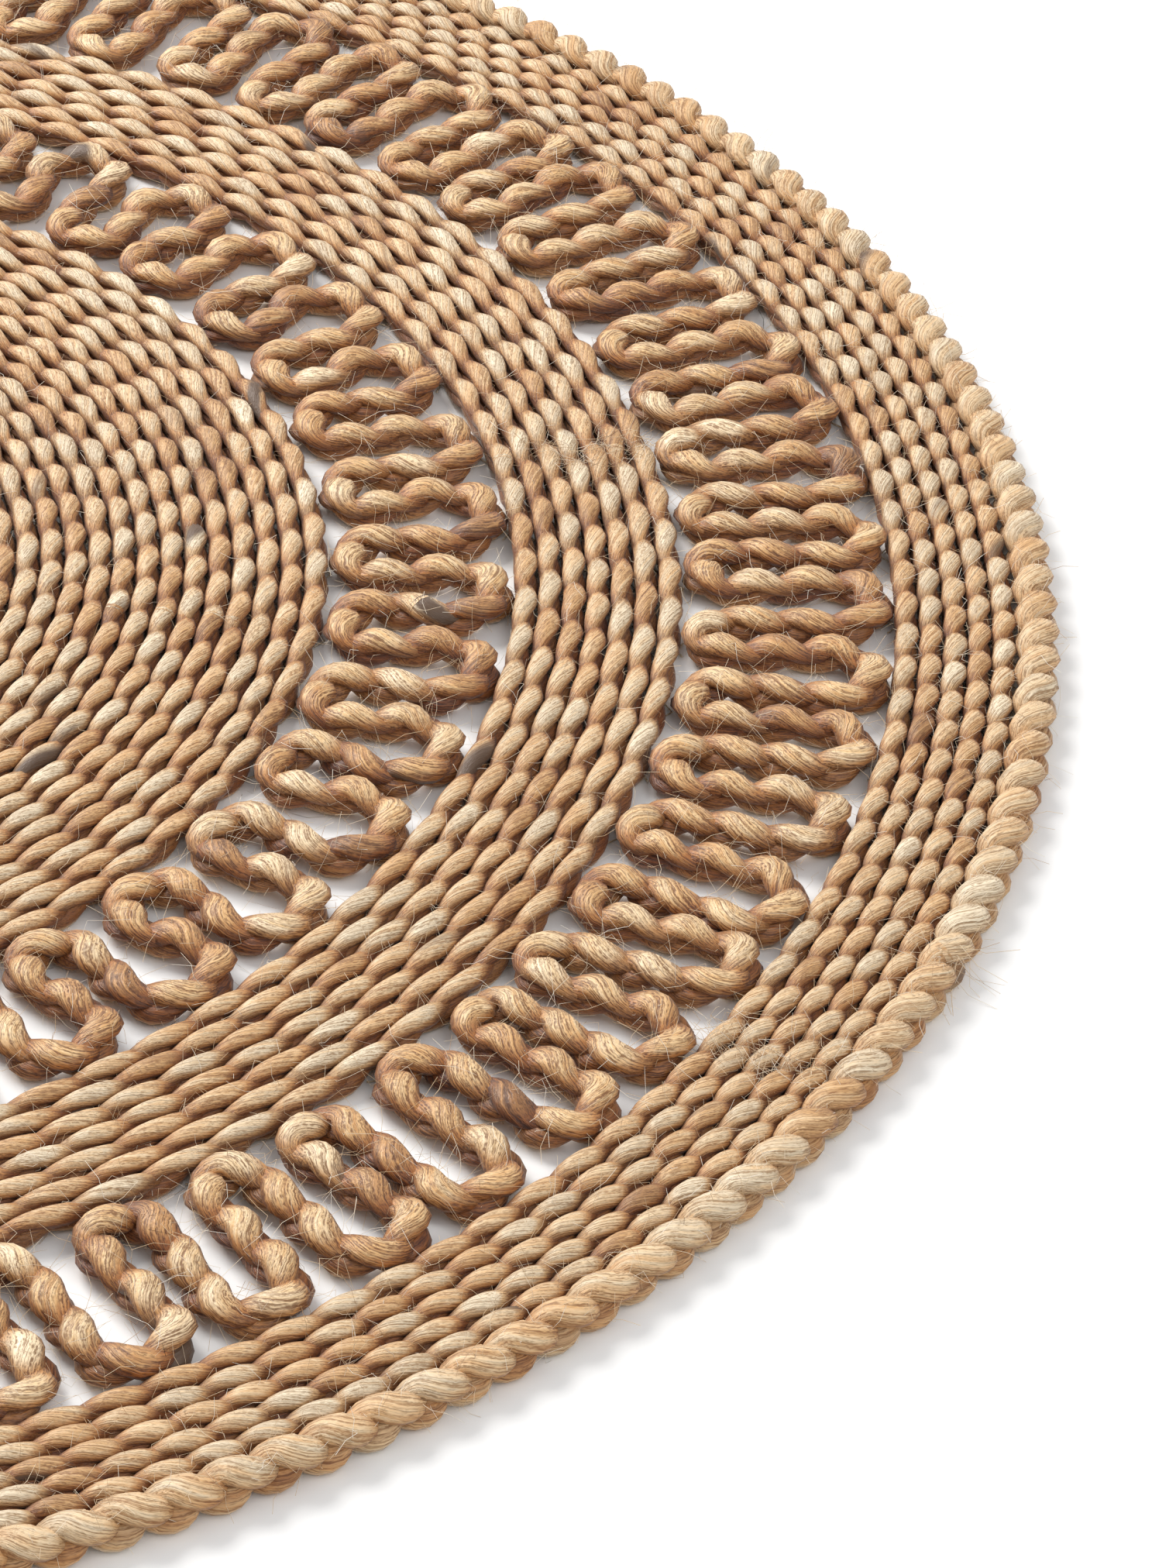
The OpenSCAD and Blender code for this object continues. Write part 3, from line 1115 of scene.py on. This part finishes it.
# %% Stitches
THREAD_D = 0.8 * MM
THREAD_Z = 0.55 * MM
STITCH_LENGTH = 4 * MM
REACH = 0.17 * ROW_W  # how far the zigzag goes to each side of the groove
SEAM_STEP = 1 * MM  # of radius, for each point in a seam ring
END_SEAM = 9 * MM
END_SEAM_STEPS = 3


def arc(radius, start, sweep, steps):
    angles = [start + sweep * k / steps for k in range(steps + 1)]
    return [(radius * math.cos(a), radius * math.sin(a), THREAD_Z) for a in angles]


def sewn(name, node_name, arcs):
    """Sews along some arcs, in place of a CAD node."""
    points = []
    edges = []
    for run in arcs:
        first = len(points)
        points += run
        edges += [(i, i + 1) for i in range(first, first + len(run) - 1)]
    mesh = bpy.data.meshes.new("seams")
    mesh.from_pydata(points, edges, [])
    values = {
        "Stitch length": STITCH_LENGTH,
        "Reach": REACH,
        "Thickness": THREAD_D,
        "Material": TWINE,
    }
    piece = grow_on(name, mesh, STITCHES, values)
    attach(piece, "root")
    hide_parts(node_name)
    print(f"{name}: {len(arcs)} seams")


def seam_rings(first_r, count):
    radii = [first_r + i * ROW_W for i in range(count)]
    return [arc(r, 0.0, math.tau, max(LEAST_POINTS, int(r / SEAM_STEP))) for r in radii]


def end_seams(inner_r, outer_r, count):
    """A short seam at each loop end; the inner ends lie half-way between the outer ones."""
    seams = []
    for radius, first in ((inner_r, 0.5), (outer_r, 0.0)):
        sweep = END_SEAM / radius
        for i in range(count):
            start = math.tau * (i + first) / count - sweep / 2
            seams.append(arc(radius, start, sweep, END_SEAM_STEPS))
    return seams


centre_grooves = seam_rings(outer_radius("centre_coil"), len(CENTRE_ROWS))
sewn("centre_seams", "centre_stitching", centre_grooves)
middle_grooves = seam_rings(MIDDLE_R + ROW_W, len(MIDDLE_ROWS) - 1)
sewn("middle_seams", "middle_stitching", middle_grooves)
outer_grooves = seam_rings(OUTER_R + ROW_W, len(OUTER_ROWS))
sewn("outer_seams", "outer_stitching", outer_grooves)
inner_ends = end_seams(INNER_LOOPS_R, MIDDLE_R, INNER_LOOP_COUNT)
sewn("inner_loop_seams", "inner_loop_stitches", inner_ends)
outer_ends = end_seams(OUTER_LOOPS_R, OUTER_R, OUTER_LOOP_COUNT)
sewn("outer_loop_seams", "outer_loop_stitches", outer_ends)

# %% [markdown]
# ## Floor
# The rug lies on a plain white floor, which is part of the stage and not of the rug. A single
# face is enough for it, because only its upper side is ever seen. It is a hair's breadth lower
# than the rug, so that the two never share a plane.

# %% Floor
FLOOR_GAP = 0.2 * MM
floor = bpy.data.objects.new("floor", bpy.data.meshes.new("floor"))
floor.data.from_pydata([(-6, -6, 0), (6, -6, 0), (6, 8, 0), (-6, 8, 0)], [], [(0, 1, 2, 3)])
bpy.context.collection.objects.link(floor)
floor_paint = bpy.data.materials.new("floor_paint")
floor_paint.use_nodes = True
floor_shader = floor_paint.node_tree.nodes["Principled BSDF"]
floor_shader.inputs["Base Color"].default_value = (0.92, 0.92, 0.92, 1)
floor_shader.inputs["Roughness"].default_value = 0.6
floor.data.materials.append(floor_paint)
floor.location.z = -FLOOR_GAP
print(f"floor {FLOOR_GAP / MM:.1f} mm below the rug")

# %% [markdown]
# ## Light
# A large area lamp behind the rug on the left gives soft shadows towards the front right, and a
# weak one on the other side keeps them open. The even white world lights the grooves a little.


# %% Lamps and world
def lamp(name, place, target, size, power, colour):
    data = bpy.data.lights.new(name, "AREA")
    data.size = size
    data.energy = power
    data.color = colour
    made = bpy.data.objects.new(name, data)
    made.location = place
    made.rotation_euler = (Vector(target) - Vector(place)).to_track_quat("-Z", "Y").to_euler()
    bpy.context.collection.objects.link(made)
    return made


lamp("key", (-1.5, 1.7, 2.2), (0.2, 0, 0), 2.1, 138, (1.0, 0.98, 0.95))
lamp("fill", (1.8, -1.6, 2.4), (0.3, 0, 0), 2.2, 30, (0.95, 0.98, 1.0))
world = bpy.data.worlds.new("studio")
world.use_nodes = True
world.node_tree.nodes["Background"].inputs[0].default_value = (1.0, 1.0, 1.0, 1)
world.node_tree.nodes["Background"].inputs[1].default_value = 0.62
bpy.context.scene.world = world
bpy.context.scene.view_settings.view_transform = "Standard"
print("lamps: key and fill")

# %% [markdown]
# ## Camera
# The camera stands in front of the rug, to the right of its middle, and looks down on it with a
# long lens, so that the rug runs out of the picture on the left and at the back.

# %% Camera
CAMERA_PLACE = Vector((0.4192, -1.8327, 1.2777))
CAMERA_PITCH = math.radians(36.57)
CAMERA_ROLL = math.radians(1.94)
LENS_MM = 129.95
SENSOR_MM = 36
camera_data = bpy.data.cameras.new("camera")
camera_data.lens = LENS_MM
camera_data.sensor_width = SENSOR_MM
camera = bpy.data.objects.new("camera", camera_data)
bpy.context.collection.objects.link(camera)
turn = Matrix.Rotation(math.pi / 2 - CAMERA_PITCH, 4, "X") @ Matrix.Rotation(CAMERA_ROLL, 4, "Z")
camera.matrix_world = Matrix.Translation(CAMERA_PLACE) @ turn
bpy.context.scene.camera = camera
print(f"camera {CAMERA_PLACE.length:.2f} m from the middle of the rug")
